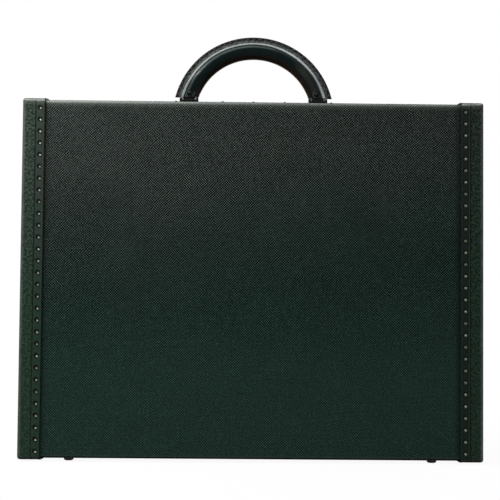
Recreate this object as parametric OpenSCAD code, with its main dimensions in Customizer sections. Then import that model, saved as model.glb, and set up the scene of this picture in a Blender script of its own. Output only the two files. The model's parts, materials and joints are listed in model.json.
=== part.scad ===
// Hard attache case: two leather-covered wooden shells on a piano hinge, nailed
// end trims, a rolled leather handle, two flip latches and a pair of lid stays.
// The case stands on its feet with the handle up. The front is at -Y and the
// rear shell is the lid. The origin is on the floor under the middle of the box.

/* [Case] */
// Width over the end trims
case_w = 450; // [380:1:520]
// Height over the end trims, without the feet
case_h = 350; // [300:1:400]
// Depth over the trims, with the lid closed
case_d = 92; // [86:1:110]
// Depth of the front shell, over its trims
base_d = 55; // [50:1:60]
// Gap between the two shells at the seam
seam_gap = 0.3; // [0.2:0.05:0.6]
// Radius of the leather-covered edges
edge_r = 2.2; // [1.2:0.1:4]

/* [Shell walls] */
// Thickness of the wooden frame
frame_t = 5; // [4:0.5:7]
// Thickness of the front and rear boards
board_t = 4; // [3:0.5:6]
// Thickness of the leather skin
skin_t = 1; // [0.6:0.1:1.6]
// Thickness of the lining
lining_t = 0.8; // [0.5:0.1:1.2]

/* [Closing lip] */
// Reach of the lid's lip into the front shell
lip_reach = 5; // [3:0.5:7]
// Depth of the lip that is fixed in the lid
lip_back = 11; // [8:0.5:12]
// Thickness of the lip
lip_t = 1.2; // [0.8:0.1:1.4]
// Clearance between the lip and the front shell's lining
lip_gap = 0.4; // [0.3:0.05:0.6]

/* [End trims] */
// Width of the trim bands
trim_w = 22; // [20:0.1:27]
// Thickness of the trim leather
trim_t = 1.6; // [1.2:0.1:2.4]
// Distance that the bands run on over the top and the bottom
trim_wrap = 3.6; // [1:0.1:4]
// Distance of the tooled groove from the outer edge
groove_in = 13.1; // [7:0.1:14.2]
// Width of the tooled groove
groove_w = 0.8; // [0.4:0.1:1.2]
// Depth of the tooled groove
groove_deep = 0.4; // [0.2:0.1:0.6]
// Corner radius of the opening in the end flange
window_r = 7; // [3:0.5:12]

/* [Trim nails] */
// Diameter of a domed nail head
nail_d = 3.5; // [2.4:0.1:4.5]
// Height of a domed nail head
nail_h = 1.2; // [0.8:0.1:1.8]
// Nails in one row
nail_count = 30; // [12:1:32]
// Distance of the nail row from the outer edge
nail_in = 17.7; // [16.5:0.1:18.2]
// Distance of the highest nail from the top of the trim
nail_top = 10.1; // [6:0.1:16]
// Distance of the lowest nail from the bottom of the trim
nail_bottom = 7.9; // [6:0.1:16]

/* [Feet] */
// Height of the case above the floor
foot_h = 2; // [1.8:0.1:5]
// Diameter of a foot
foot_d = 9.5; // [8:0.5:14]
// Diameter of a foot's flat underside
foot_flat = 6; // [4:0.5:7]
// Distance of the feet from the ends of the case
foot_end_in = 48; // [40:1:70]
// Distance of the front feet from the front face
foot_in = 18; // [14:0.5:24]
// Distance of the rear feet behind the hinge leaf
foot_leaf_gap = 1.55; // [1:0.05:4]

/* [Piano hinge] */
// Distance of the hinge's ends from the end trims
hinge_end_gap = 1.4; // [0.8:0.1:30]
// Width of one hinge leaf
leaf_w = 14; // [10:0.5:15]
// Thickness of a hinge leaf
leaf_t = 1; // [0.8:0.1:1.2]
// Outer diameter of the knuckles
knuckle_d = 3; // [2.8:0.1:3.2]
// Diameter of the hinge pin
hinge_pin_d = 1.6; // [1.2:0.1:1.8]
// Number of knuckles
knuckle_count = 21; // [11:2:31]
// Screws along one leaf
leaf_screws = 9; // [5:1:13]

/* [Handle] */
// Distance of the handle from the front face
handle_in = 27.5; // [24:0.5:32]
// Inside radius of the handle's arch
handle_r = 58; // [45:0.5:66]
// Thickness of the leather roll
grip_t = 16.2; // [14:0.2:18]
// Thickness of the roll where its ends are pinched flat
pinch_t = 7.4; // [6.6:0.1:7.6]
// Height over which the roll swells from its flat ends
pinch_rise = 20; // [12:1:30]
// Height of the stitched welt on the outside of the roll
welt_h = 6.1; // [3:0.1:8]
// Thickness of the welt
welt_t = 4; // [2.5:0.1:5]
// Depth of the arch's centre below the top of the patch
arch_drop = 13; // [8:0.1:18]
// Height of the handle pins above the patch
pin_rise = 3.2; // [3:0.05:4]
// Height of the cut leather ends above the pins
end_rise = 3.4; // [3.3:0.1:6]
// Diameter of the handle pins
handle_pin_d = 2.4; // [1.8:0.1:2.6]
// Outer diameter of the lugs on the pins
lug_d = 4.6; // [4.2:0.1:4.8]
// Length of a lug along its pin
lug_w = 12; // [10:0.1:14]
// Thickness of one ear of a handle mount
ear_t = 3.1; // [2:0.1:4]
// Thickness of the steel core
core_t = 3; // [2:0.1:3.6]
// Depth of the steel core, across the roll
core_d = 8; // [6:0.1:9]
// Diameter of the rivets through the leather ends
grip_rivet_d = 3; // [2:0.1:3.4]
// Height of the rivets above the cut leather ends
grip_rivet_rise = 4; // [3.8:0.1:8]
// Distance of the rivets outside the roll's middle line
grip_rivet_out = 1.2; // [0:0.1:1.6]

/* [Handle patch] */
// Distance of the patch's ends past the handle mounts
patch_end = 9.6; // [8:0.1:20]
// Width of the leather patch
patch_w = 30; // [26:0.5:32]
// Thickness of the leather patch
patch_t = 1.4; // [0.8:0.1:2]
// Distance of the patch nails from its long edges
patch_nail_in = 3; // [2.6:0.1:3.4]
// Distance of the outer patch nails from its ends
patch_nail_end = 6.5; // [4:0.1:7]

/* [Latches] */
// Distance of the latches from the ends of the case
latch_end_in = 80; // [50:1:100]
// Width of a lock plate
plate_w = 42; // [40:0.5:50]
// Depth of a lock plate
plate_d = 17; // [16.5:0.5:19]
// Thickness of the latch sheet metal
plate_t = 0.9; // [0.6:0.1:1]
// Height of a lock housing
housing_h = 3.2; // [2.8:0.1:4]
// Width of the hasp
hasp_w = 10.6; // [8:0.1:12]
// Thickness of the hasp
hasp_t = 1.1; // [0.9:0.1:1.3]
// Reach of the hasp past the seam
hasp_reach = 7; // [6:0.1:7.5]
// Distance of the hasp's hinge from the seam
hasp_back = 9; // [6:0.1:9.5]
// Diameter of the hasp's knuckle
hasp_knuckle_d = 3.2; // [3:0.1:3.6]
// Diameter of the hasp's pin
hasp_pin_d = 1.6; // [1:0.1:1.8]
// Length of the slide's block
slide_w = 6; // [5:0.1:6.5]
// Travel of the slide
slide_travel = 5; // [3:0.1:5.5]
// Diameter of the key barrel
barrel_d = 5; // [4:0.1:5.5]

/* [Lid stays] */
// Distance of the front stay pivot from the front shell's lining
stay_front_in = 16.6; // [8:0.1:20]
// Height of the front stay pivot above the hinge
stay_front_z = 50; // [40:1:60]
// Distance of the lid stay pivot from the lid's lining
stay_lid_in = 6.4; // [6:0.1:7]
// Height of the lid stay pivot above the hinge
stay_lid_z = 148; // [110:1:180]
// Width of the stay links
link_w = 9; // [7:0.5:10]
// Thickness of the stay links
link_t = 1.4; // [1:0.1:1.5]
// Diameter of the stay pivots
pivot_d = 4; // [3:0.1:4.5]

/* [Lid pocket] */
// Distance of the document pocket from the side walls
pocket_side = 27.4; // [20:0.1:60]
// Height of the document pocket
pocket_h = 220; // [150:1:240]
// Thickness of the pocket leather
pocket_t = 1.6; // [1:0.1:2.4]

/* [Hidden] */
$fn = 48;
// Room past the model that cutting blocks reach
far = 600;
// Running clearance round a pin
fit = 0.05;
// Clearance between parts that slide or swing past each other
slip = 0.3;
// Corner radius of the sheet metal and leather plates
plate_r = 2;

case_mid_z = foot_h + case_h / 2;
case_top = foot_h + case_h;
front_y = -case_d / 2;
rear_y = case_d / 2;
seam_y = front_y + base_d;
base_rim_y = seam_y - seam_gap / 2;
lid_rim_y = seam_y + seam_gap / 2;
cover_w = case_w - 2 * trim_t;
cover_h = case_h - 2 * trim_t;
cover_d = case_d - 2 * trim_t;
cover_top = case_top - trim_t;
cover_bottom = foot_h + trim_t;
wall_t = skin_t + frame_t;
inner_w = cover_w - 2 * wall_t;
inner_h = cover_h - 2 * wall_t;
base_floor_y = -cover_d / 2 + skin_t + board_t;
lid_floor_y = cover_d / 2 - skin_t - board_t;

// Piano hinge: its axis lies just under the shells, in the plane of the seam
hinge_drop = 0.15;
hinge_z = cover_bottom - hinge_drop - knuckle_d / 2;
leaf_start = knuckle_d / 2 + 0.2;
hinge_len = case_w - 2 * (trim_w + trim_wrap + hinge_end_gap);
knuckle_pitch = hinge_len / knuckle_count;
knuckle_gap = 0.2;
screw_head_d = 4;
screw_head_h = 0.7;

// Handle: every radius is measured from the centre of the arch
handle_y = front_y + handle_in;
patch_top = cover_top + patch_t;
arch_z = patch_top - arch_drop;
pin_z = patch_top + pin_rise;
leather_end_z = pin_z + end_rise;
core_r = handle_r + grip_t / 2;
lug_x = sqrt(pow(core_r, 2) - pow(pin_z - arch_z, 2));
ear_in = lug_w / 2 + slip;
patch_len = 2 * (lug_x + ear_in + ear_t + patch_end);
grip_rivet_z = leather_end_z + grip_rivet_rise;
grip_rivet_x = sqrt(pow(core_r + grip_rivet_out, 2) - pow(grip_rivet_z - arch_z, 2));
arch_start = 8;
ear_d = lug_d + 1.2;
mount_plate_t = 0.6;
mount_plate_d = 17;
mount_screw_y = 6.6;
core_fit = 0.1;
rivet_seat_d = 6.4;
rivet_head_d = 4.6;
rivet_head_h = 0.7;

// Latches: y runs from the seam, and z from the top of the leather
latch_x = case_w / 2 - latch_end_in;
housing_in = 2;
housing_wall = 0.8;
housing_w = plate_w - 5 * housing_in;
housing_d = plate_d - housing_in;
slide_pocket_d = 4;
slide_y = -housing_d + housing_wall + slide_pocket_d / 2;
slide_x = -housing_w / 2 + housing_wall + slip + slide_travel + slide_w / 2;
knob_h = 1.1;
barrel_x = housing_w / 2 - barrel_d / 2 - 2;
barrel_y = -plate_d / 2;
hasp_z = plate_t + slip + hasp_knuckle_d / 2;
mount_ear_t = 2.4;
mount_w = hasp_w + 2 * slip + 2 * mount_ear_t + 8;
mount_d = hasp_back + hasp_knuckle_d / 2 + 3.5;
small_rivet_d = 2.4;
small_rivet_h = 0.7;

// Lid stays: a parallelogram of the two pivots, the hinge and the knee
stay_wall_x = inner_w / 2 - lining_t;
bracket_t = 1.6;
long_link_x = inner_w / 2 - lining_t - lip_gap - lip_t - rivet_head_h - slip - link_t;
short_link_x = long_link_x - slip - link_t;
front_pivot = [base_floor_y + lining_t + stay_front_in, hinge_z + stay_front_z];
lid_pivot = [lid_floor_y - lining_t - stay_lid_in, hinge_z + stay_lid_z];
knee = front_pivot + lid_pivot - [seam_y, hinge_z];
bracket_w = 10;
bracket_h = 22;
bracket_screw_in = 3.2;
bracket_screw_d = 3.2;
bracket_screw_h = 0.5;

// Pocket: centred across the lid's lining
pocket_w = inner_w - 2 * pocket_side;
pocket_z = case_mid_z - 15;
pocket_r = 8;
binding_h = 9;
binding_t = 0.8;

// Rectangle with round corners, centred
module rounded_plate(w, h, r) {
    square([w - 2 * r, h], center = true);
    square([w, h - 2 * r], center = true);
    for (x = [-1, 1], y = [-1, 1])
        translate([x * (w / 2 - r), y * (h / 2 - r)]) circle(r);
}

// The closed case's rounded form, grown outward from the leather's surface
module case_form(grow) {
    w = cover_w + 2 * grow;
    d = cover_d + 2 * grow;
    h = cover_h + 2 * grow;
    r = max(edge_r + grow, 0.4);
    translate([0, 0, case_mid_z]) intersection() {
        rotate([90, 0, 0]) linear_extrude(far, center = true) rounded_plate(w, h, r);
        linear_extrude(far, center = true) rounded_plate(w, d, r);
        rotate([90, 0, 90]) linear_extrude(far, center = true) rounded_plate(d, h, r);
    }
}

// All space between two depths
module slab(y0, y1) {
    translate([-far / 2, y0, -far / 2]) cube([far, y1 - y0, 2 * far]);
}

// A straight channel through the case in depth, such as the inside of a frame
module channel(w, h, y0, y1) {
    translate([-w / 2, y0, case_mid_z - h / 2]) cube([w, y1 - y0, h]);
}

module on_side(side) {
    if (side < 0) mirror([1, 0, 0]) children();
    else children();
}

// Shell pieces, from the rim of the shell to its closed face
module shell_frame(y0, y1) {
    difference() {
        intersection() {
            case_form(-skin_t);
            slab(y0, y1);
        }
        channel(inner_w, inner_h, y0 - 1, y1 + 1);
    }
}

module shell_board(y0, y1) {
    intersection() {
        case_form(-skin_t);
        slab(y0, y1);
    }
}

// The skin wraps the wood and turns in over the frame's rim
module shell_cover(y0, y1, wood_y0, wood_y1, floor_y) {
    difference() {
        intersection() {
            case_form(0);
            slab(y0, y1);
        }
        intersection() {
            case_form(-skin_t);
            slab(wood_y0, wood_y1);
        }
        channel(inner_w, inner_h, min(floor_y, seam_y), max(floor_y, seam_y));
    }
}

module shell_lining(y0, y1, open_y0, open_y1) {
    difference() {
        channel(inner_w, inner_h, y0, y1);
        channel(inner_w - 2 * lining_t, inner_h - 2 * lining_t, open_y0, open_y1);
    }
}

// Band round one end of a shell, with an opening in its end flange
module end_trim(side, y0, y1, face_y) {
    on_side(side) difference() {
        intersection() {
            difference() {
                case_form(trim_t);
                case_form(0);
            }
            slab(y0, y1);
            translate([case_w / 2 - trim_w, -far / 2, -far / 2]) cube([far, far, 2 * far]);
        }
        translate([case_w / 2 - edge_r, seam_y, case_mid_z]) rotate([90, 0, 90])
            linear_extrude(far)
                rounded_plate(2 * (abs(face_y - seam_y) - trim_w), case_h - 2 * trim_w, window_r);
        face_groove(face_y);
    }
    on_side(side) for (top = [0, 1]) translate([0, 0, case_mid_z]) mirror([0, 0, 1 - top])
        trim_tongue(max(y0, front_y + edge_r), min(y1, rear_y - edge_r));
}

// Skived end of a band on the top face, which thins out to nothing
module trim_tongue(y0, y1) {
    skive_r = (pow(trim_wrap, 2) + pow(trim_t, 2)) / (2 * trim_t);
    root = 1;
    translate([case_w / 2 - trim_w, y1, cover_h / 2]) rotate([90, 0, 0]) linear_extrude(y1 - y0)
        intersection() {
            translate([-trim_wrap, 0]) square([trim_wrap + root, trim_t]);
            union() {
                translate([0, trim_t - skive_r]) circle(skive_r, $fn = 96);
                square([root, trim_t]);
            }
        }
}

module face_groove(face_y) {
    translate([case_w / 2 - groove_in, face_y, case_mid_z])
        cube([groove_w, 2 * groove_deep, far], center = true);
}

// Domed head standing on the plane z = 0
module dome(d, h) {
    ball = (pow(d / 2, 2) + pow(h, 2)) / (2 * h);
    rotate_extrude($fn = 24) intersection() {
        translate([0, h - ball]) circle(ball, $fn = 96);
        square([d, h]);
    }
}

// One row of nails on the face and one on the end flange
module trim_nails(side, face_y, out) {
    step = (case_h - nail_top - nail_bottom) / (nail_count - 1);
    on_side(side) for (i = [0:nail_count - 1]) {
        z = foot_h + nail_bottom + i * step;
        translate([case_w / 2 - nail_in, face_y, z]) rotate([-90 * out, 0, 0]) dome(nail_d, nail_h);
        translate([case_w / 2, face_y - out * nail_in, z]) rotate([0, 90, 0]) dome(nail_d, nail_h);
    }
}

module base_frame() {
    color("burlywood") shell_frame(base_floor_y, base_rim_y - skin_t);
}

module base_board() {
    color("tan") shell_board(-cover_d / 2 + skin_t, base_floor_y);
}

module base_cover() {
    wood_y0 = -cover_d / 2 + skin_t;
    color("darkslategray")
        shell_cover(-cover_d / 2, base_rim_y, wood_y0, base_rim_y - skin_t, base_floor_y);
}

module base_lining() {
    color("dimgray")
        shell_lining(base_floor_y, base_rim_y - skin_t, base_floor_y + lining_t, base_rim_y);
}

module base_left_trim() {
    color("dimgray") end_trim(-1, front_y, base_rim_y, front_y);
}

module base_right_trim() {
    color("dimgray") end_trim(1, front_y, base_rim_y, front_y);
}

module base_left_nails() {
    color("goldenrod") trim_nails(-1, front_y, -1);
}

module base_right_nails() {
    color("goldenrod") trim_nails(1, front_y, -1);
}

module lid_frame() {
    color("burlywood") shell_frame(lid_rim_y + skin_t, lid_floor_y);
}

module lid_board() {
    color("tan") shell_board(lid_floor_y, cover_d / 2 - skin_t);
}

module lid_cover() {
    wood_y1 = cover_d / 2 - skin_t;
    color("darkslategray")
        shell_cover(lid_rim_y, cover_d / 2, lid_rim_y + skin_t, wood_y1, lid_floor_y);
}

module lid_lining() {
    color("dimgray")
        shell_lining(lid_rim_y + lip_back, lid_floor_y, lid_rim_y, lid_floor_y - lining_t);
}

module lid_left_trim() {
    color("dimgray") end_trim(-1, lid_rim_y, rear_y, rear_y);
}

module lid_right_trim() {
    color("dimgray") end_trim(1, lid_rim_y, rear_y, rear_y);
}

module lid_left_nails() {
    color("goldenrod") trim_nails(-1, rear_y, 1);
}

module lid_right_nails() {
    color("goldenrod") trim_nails(1, rear_y, 1);
}

// Ring that closes into the front shell, stepped where it leaves the lid
module lid_lip() {
    step = 2 * (lining_t + lip_gap);
    color("black") difference() {
        union() {
            channel(inner_w, inner_h, lid_rim_y, lid_rim_y + lip_back);
            channel(inner_w - step, inner_h - step, base_rim_y - lip_reach, lid_rim_y + 1);
        }
        channel(inner_w - step - 2 * lip_t, inner_h - step - 2 * lip_t, front_y, rear_y);
    }
}

// Leather panel sewn flat to the lining on three sides, with a bound mouth
module lid_pocket() {
    y = lid_floor_y - lining_t;
    color("saddlebrown") translate([0, y, pocket_z]) rotate([90, 0, 0]) {
        linear_extrude(pocket_t) rounded_plate(pocket_w, pocket_h, pocket_r);
        translate([0, pocket_h / 2 - binding_h / 2 - pocket_r, pocket_t])
            linear_extrude(binding_t) square([pocket_w, binding_h], center = true);
    }
}

// Hinge leaf that reaches out to the given side of the seam; own says which knuckles it holds
module hinge_leaf(out, own) {
    z0 = cover_bottom - leaf_t;
    difference() {
        union() {
            translate([-hinge_len / 2, seam_y + (out > 0 ? leaf_start : -leaf_start - leaf_w), z0])
                cube([hinge_len, leaf_w, leaf_t]);
            for (i = [own:2:knuckle_count - 1]) translate([knuckle_x(i), seam_y, 0]) {
                translate([0, 0, hinge_z]) rotate([0, 90, 0])
                    cylinder(d = knuckle_d, h = knuckle_pitch - knuckle_gap);
                translate([0, out > 0 ? 0 : -leaf_start, z0])
                    cube([knuckle_pitch - knuckle_gap, leaf_start, leaf_t - hinge_drop]);
            }
        }
        translate([-far / 2, seam_y, hinge_z]) rotate([0, 90, 0])
            cylinder(d = hinge_pin_d + 2 * fit, h = far);
    }
}

function knuckle_x(i) = -hinge_len / 2 + i * knuckle_pitch + knuckle_gap / 2;

module leaf_screws_row(out) {
    span = hinge_len - 2 * leaf_w;
    y = seam_y + out * (leaf_start + leaf_w / 2);
    for (i = [0:leaf_screws - 1])
        translate([-span / 2 + i * span / (leaf_screws - 1), y, cover_bottom - leaf_t])
            rotate([180, 0, 0]) dome(screw_head_d, screw_head_h);
}

module hinge_base_leaf() {
    color("darkgoldenrod") hinge_leaf(-1, 0);
}

module hinge_lid_leaf() {
    color("darkgoldenrod") hinge_leaf(1, 1);
}

module hinge_pin() {
    color("gray") translate([-hinge_len / 2, seam_y, hinge_z]) rotate([0, 90, 0])
        cylinder(d = hinge_pin_d, h = hinge_len);
}

module hinge_base_screws() {
    color("goldenrod") leaf_screws_row(-1);
}

module hinge_lid_screws() {
    color("goldenrod") leaf_screws_row(1);
}

// Stud from the leather down to the floor, with a round shoulder and a flat underside
module foot() {
    shoulder = (foot_d - foot_flat) / 2;
    rotate_extrude() {
        square([foot_flat / 2, cover_bottom]);
        translate([0, shoulder]) square([foot_d / 2, cover_bottom - shoulder]);
        translate([foot_flat / 2, shoulder]) circle(shoulder);
    }
}

module feet(y) {
    foot_x = case_w / 2 - foot_end_in;
    for (x = [-foot_x, foot_x]) translate([x, y, 0]) foot();
}

module base_feet() {
    color("darkgoldenrod") feet(front_y + foot_in);
}

module lid_feet() {
    color("darkgoldenrod") feet(seam_y + leaf_start + leaf_w + foot_leaf_gap + foot_d / 2);
}

module handle_patch() {
    color("darkslategray") translate([0, handle_y, cover_top])
        linear_extrude(patch_t) rounded_plate(patch_len, patch_w, patch_w / 5);
}

module patch_nails() {
    x_out = patch_len / 2 - patch_nail_end;
    y_out = patch_w / 2 - patch_nail_in;
    color("goldenrod") for (x = [-x_out, -0.4 * x_out, 0, 0.4 * x_out, x_out], y = [-y_out, y_out])
        translate([x, handle_y + y, patch_top]) dome(nail_d, nail_h);
}

// Low clevis: a plate with two rounded ears that hold the handle pin
module handle_mount(side) {
    plate_len = 2 * (ear_in + ear_t);
    color("darkslategray") translate([side * lug_x, handle_y, 0]) difference() {
        union() {
            translate([0, 0, patch_top]) linear_extrude(mount_plate_t)
                rounded_plate(plate_len, mount_plate_d, plate_r);
            for (x = [-ear_in - ear_t, ear_in]) translate([x, 0, 0]) {
                translate([0, 0, pin_z]) rotate([0, 90, 0]) cylinder(d = ear_d, h = ear_t);
                translate([0, -ear_d / 2, patch_top]) cube([ear_t, ear_d, pin_rise]);
            }
        }
        translate([-far / 2, 0, pin_z]) rotate([0, 90, 0]) cylinder(d = handle_pin_d, h = far);
    }
}

module left_handle_mount() {
    handle_mount(-1);
}

module right_handle_mount() {
    handle_mount(1);
}

module handle_pins() {
    len = 2 * (ear_in + ear_t);
    color("gray") for (x = [-lug_x, lug_x])
        translate([x - len / 2, handle_y, pin_z]) rotate([0, 90, 0]) cylinder(d = handle_pin_d, h = len);
}

module handle_mount_screws() {
    color("gray") for (x = [-lug_x, lug_x], y = [-mount_screw_y, mount_screw_y])
        translate([x, handle_y + y, patch_top + mount_plate_t]) dome(screw_head_d - 0.8, 0.5);
}

// Section swept round the arch; the arch's plane is x-z at the handle's depth
module arch(start = arch_start) {
    translate([0, handle_y, arch_z]) rotate([90, 0, 0])
        rotate_extrude(angle = 180 - 2 * start, start = start, $fn = 96) children();
}

// Side view of the roll: flat at its cut ends, swelling to the full round
module pinch_profile(reach) {
    half = pinch_t / 2;
    swell = (pow(reach - half, 2) + pow(pinch_rise, 2)) / (2 * (reach - half));
    flat_h = grip_rivet_rise + rivet_seat_d / 2;
    difference() {
        translate([-reach, 0]) square([2 * reach, far]);
        for (s = [-1, 1]) {
            translate([s > 0 ? half : -far - half, -1]) square([far, flat_h + 1]);
            difference() {
                translate([s > 0 ? half : -reach - half, flat_h]) square([reach, pinch_rise]);
                translate([s * (reach - swell), flat_h + pinch_rise]) circle(swell, $fn = 128);
            }
        }
    }
}

module handle_grip() {
    color("darkslategray") difference() {
        intersection() {
            arch() translate([core_r, 0]) circle(grip_t / 2);
            translate([-far / 2, handle_y, leather_end_z]) rotate([90, 0, 90])
                linear_extrude(far) pinch_profile(grip_t / 2 + slip);
        }
        arch(0) translate([core_r, 0])
            square([core_d + 2 * core_fit, core_t + 2 * core_fit], center = true);
        grip_rivet_holes();
    }
}

// Stitched fin along the outside of the roll, with a rounded edge
module handle_welt() {
    r0 = handle_r + grip_t + core_fit;
    tip = welt_t / 2;
    color("black") intersection() {
        arch() {
            translate([r0, -welt_t / 2]) square([welt_h - tip, welt_t]);
            translate([r0 + welt_h - tip, 0]) circle(tip);
        }
        translate([-far / 2, handle_y - far / 2, leather_end_z]) cube([far, far, far]);
    }
}

module grip_rivet_holes() {
    for (x = [-grip_rivet_x, grip_rivet_x])
        translate([x, handle_y, grip_rivet_z]) rotate([90, 0, 0])
            cylinder(d = grip_rivet_d, h = far, center = true);
}

// Steel strip inside the roll, with a drilled lug on each end
module handle_core() {
    lug_start = asin((pin_z - arch_z) / core_r);
    color("silver") difference() {
        union() {
            arch(lug_start) translate([core_r, 0]) square([core_d, core_t], center = true);
            for (x = [-lug_x, lug_x]) translate([x - lug_w / 2, handle_y, pin_z]) {
                rotate([0, 90, 0]) cylinder(d = lug_d, h = lug_w);
                translate([0, -lug_d / 2, 0]) cube([lug_w, lug_d, end_rise - core_fit]);
            }
        }
        translate([-far / 2, handle_y, pin_z]) rotate([0, 90, 0])
            cylinder(d = handle_pin_d + 2 * fit, h = far);
        grip_rivet_holes();
    }
}

module handle_rivets() {
    color("goldenrod") for (x = [-grip_rivet_x, grip_rivet_x]) translate([x, handle_y, grip_rivet_z]) {
        rotate([90, 0, 0]) cylinder(d = grip_rivet_d, h = pinch_t, center = true);
        for (s = [-1, 1]) translate([0, s * pinch_t / 2, 0]) rotate([-90 * s, 0, 0])
            dome(rivet_head_d, rivet_head_h);
    }
}

module at_latch(side) {
    translate([side * latch_x, seam_y, cover_top]) on_side(side) children();
}

// Lock case on the front shell, with room for the hasp, the slide and the key barrel
module lock_plate(side) {
    rim = seam_gap / 2 + slip;
    color("darkgoldenrod") at_latch(side) difference() {
        union() {
            translate([0, -plate_d / 2 - rim / 2, 0]) linear_extrude(plate_t)
                rounded_plate(plate_w, plate_d - rim, plate_r);
            translate([0, -housing_d / 2 - rim / 2, 0]) linear_extrude(housing_h)
                rounded_plate(housing_w, housing_d - rim, plate_r / 2);
        }
        translate([-hasp_w / 2 - slip, -hasp_reach - 2 * slip, plate_t])
            cube([hasp_w + 2 * slip, far, far]);
        translate([slide_x - slide_w / 2 - slide_travel - slip, slide_y - slide_pocket_d / 2, plate_t])
            cube([slide_w + slide_travel + 2 * slip, slide_pocket_d, far]);
        translate([barrel_x, barrel_y, plate_t]) cylinder(d = barrel_d + 2 * fit, h = far);
    }
}

// Thumb slide: a block in its pocket under a ribbed knob
module slide(side) {
    knob_w = slide_w + 1;
    knob_d = slide_pocket_d + 1;
    color("goldenrod") at_latch(side) translate([slide_x, slide_y, 0]) difference() {
        union() {
            translate([-slide_w / 2, -slide_pocket_d / 2 + slip, plate_t])
                cube([slide_w, slide_pocket_d - 2 * slip, housing_h - plate_t + slip]);
            translate([0, 0, housing_h + slip / 3]) linear_extrude(knob_h)
                rounded_plate(knob_w, knob_d, 1);
        }
        for (x = [-2:1:2]) translate([x * knob_w / 6, 0, housing_h + slip / 3 + knob_h])
            cube([knob_w / 12, knob_d, knob_h / 2], center = true);
    }
}

module key_barrel(side) {
    slot_w = barrel_d / 6;
    color("gold") at_latch(side) translate([barrel_x, barrel_y, 0]) difference() {
        translate([0, 0, plate_t]) cylinder(d = barrel_d, h = housing_h - plate_t + slip);
        translate([0, 0, housing_h]) cube([slot_w, barrel_d * 0.6, 2], center = true);
    }
}

// Hinged on the lid: a flat arm with a staple under it and a bead to lift it by
module hasp(side) {
    arm = hasp_back + hasp_reach;
    color("gold") at_latch(side) translate([0, hasp_back, hasp_z]) difference() {
        union() {
            rotate([0, 90, 0]) cylinder(d = hasp_knuckle_d, h = hasp_w, center = true);
            translate([-hasp_w / 2, -arm + hasp_t, -hasp_t / 2]) cube([hasp_w, arm - hasp_t, hasp_t]);
            translate([0, -arm + hasp_t, 0]) rotate([0, 90, 0])
                cylinder(r = hasp_t * 0.8, h = hasp_w, center = true);
            translate([-hasp_w / 4, -arm + 2 * hasp_t, -hasp_t / 2 - 0.5])
                cube([hasp_w / 2, 1.6, 0.6]);
        }
        rotate([0, 90, 0]) cylinder(d = hasp_pin_d + 2 * fit, h = far, center = true);
    }
}

module hasp_mount(side) {
    rim = seam_gap / 2 + slip;
    ear_x = hasp_w / 2 + slip;
    color("darkgoldenrod") at_latch(side) difference() {
        union() {
            translate([0, (mount_d + rim) / 2, 0]) linear_extrude(plate_t)
                rounded_plate(mount_w, mount_d - rim, plate_r);
            for (x = [-ear_x - mount_ear_t, ear_x]) translate([x, hasp_back, 0]) {
                translate([0, 0, hasp_z]) rotate([0, 90, 0])
                    cylinder(d = hasp_knuckle_d, h = mount_ear_t);
                translate([0, -hasp_knuckle_d / 2, 0])
                    cube([mount_ear_t, hasp_knuckle_d, hasp_z]);
            }
        }
        translate([-far / 2, hasp_back, hasp_z]) rotate([0, 90, 0]) cylinder(d = hasp_pin_d, h = far);
    }
}

module hasp_pins() {
    len = hasp_w + 2 * slip + 2 * mount_ear_t;
    color("silver") for (side = [-1, 1]) at_latch(side)
        translate([-len / 2, hasp_back, hasp_z]) rotate([0, 90, 0]) cylinder(d = hasp_pin_d, h = len);
}

module lock_rivets() {
    x = plate_w / 2 - small_rivet_d;
    color("goldenrod") for (side = [-1, 1], s = [-1, 1], y = [-plate_d + 3, -3]) at_latch(side)
        translate([s * x, y, plate_t]) dome(small_rivet_d, small_rivet_h);
}

module hasp_mount_rivets() {
    x = mount_w / 2 - 2;
    color("goldenrod") for (side = [-1, 1], s = [-1, 1], y = [3, mount_d - 2.6]) at_latch(side)
        translate([s * x, y, plate_t]) dome(small_rivet_d, small_rivet_h);
}

// Lid stays: pieces lie in planes of constant x, drawn from a pivot in y and z
module at_pivot(side, x, at) {
    on_side(side) translate([x, at.x, at.y]) rotate([90, 0, 90]) children();
}

// Wall bracket with a stud that ends in a head inside the link
module stay_bracket(side, at, link_x) {
    stud = stay_wall_x - bracket_t - link_x + slip;
    at_pivot(side, stay_wall_x - bracket_t, at) {
        linear_extrude(bracket_t) rounded_plate(bracket_w, bracket_h, plate_r);
        translate([0, 0, -stud]) cylinder(d = pivot_d, h = stud);
        translate([0, 0, -stud]) rotate([180, 0, 0]) dome(pivot_d + 3, rivet_head_h);
        for (y = [-1, 1]) translate([0, y * (bracket_h / 2 - bracket_screw_in), 0])
            rotate([180, 0, 0]) dome(bracket_screw_d, bracket_screw_h);
    }
}

module stay_link(side, x, from, to, from_hole, to_hole) {
    run = to - from;
    on_side(side) translate([x, from.x, from.y])
        rotate([90, 0, 90]) rotate(atan2(run.y, run.x)) linear_extrude(link_t) difference() {
            union() {
                translate([0, -link_w / 2]) square([norm(run), link_w]);
                circle(link_w / 2);
                translate([norm(run), 0]) circle(link_w / 2);
            }
            circle(d = from_hole);
            translate([norm(run), 0]) circle(d = to_hole);
        }
}

module stay_front_brackets() {
    color("darkgoldenrod") for (side = [-1, 1]) stay_bracket(side, front_pivot, long_link_x);
}

module stay_lid_brackets() {
    color("darkgoldenrod") for (side = [-1, 1]) stay_bracket(side, lid_pivot, short_link_x);
}

module long_link(side) {
    color("goldenrod")
        stay_link(side, long_link_x, front_pivot, knee, pivot_d + 2 * fit, pivot_d);
}

module short_link(side) {
    color("goldenrod")
        stay_link(side, short_link_x, lid_pivot, knee, pivot_d + 2 * fit, pivot_d + 2 * slip);
}

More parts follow.
